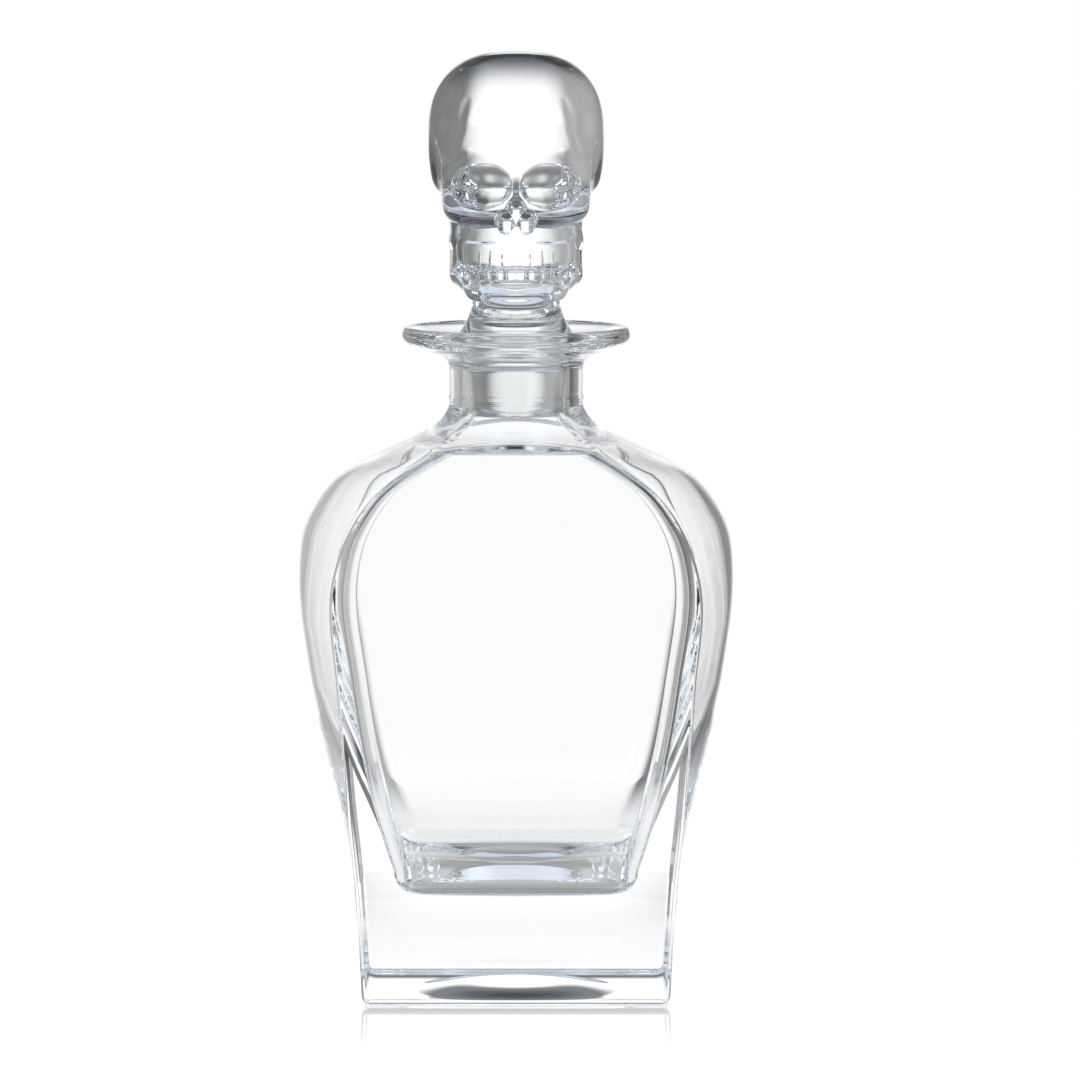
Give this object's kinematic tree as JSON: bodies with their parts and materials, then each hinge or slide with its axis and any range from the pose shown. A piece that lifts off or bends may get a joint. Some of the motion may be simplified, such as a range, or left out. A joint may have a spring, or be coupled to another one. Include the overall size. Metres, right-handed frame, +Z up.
{
  "type": "figural liquor decanter",
  "caption": "Clear glass liquor decanter with flat panels, round shoulders and a heavy base, closed by a solid glass skull stopper that lifts out of the neck and turns in its seal.",
  "frame": {"origin": "centre of the base, on the surface that the decanter stands on", "axes": "+Z up along the neck's axis, +X across the panels, -Y out of the front panel and the skull's face"},
  "size_m": [0.1262, 0.073, 0.2703],
  "materials": {
    "bottle_glass": "clear, fire polished",
    "stopper_glass": "clear, pressed and fire polished",
    "seal_plastic": "clear soft plastic"
  },
  "bodies": {
    "bottle": {"decanter_bottle": "bottle_glass"},
    "seal": {"stopper_seal": "seal_plastic"},
    "stopper": {"skull_stopper": "stopper_glass"}
  },
  "joints": [
    {"name": "stopper_lift", "type": "slide", "parent": "bottle", "child": "seal", "axis": [0, 0, 1], "range_m": [0, 0.045]},
    {"name": "stopper_turn", "type": "hinge", "parent": "seal", "child": "stopper", "pos_m": [0, 0, 0.1876], "axis": [0, 0, 1], "continuous": true}
  ]
}
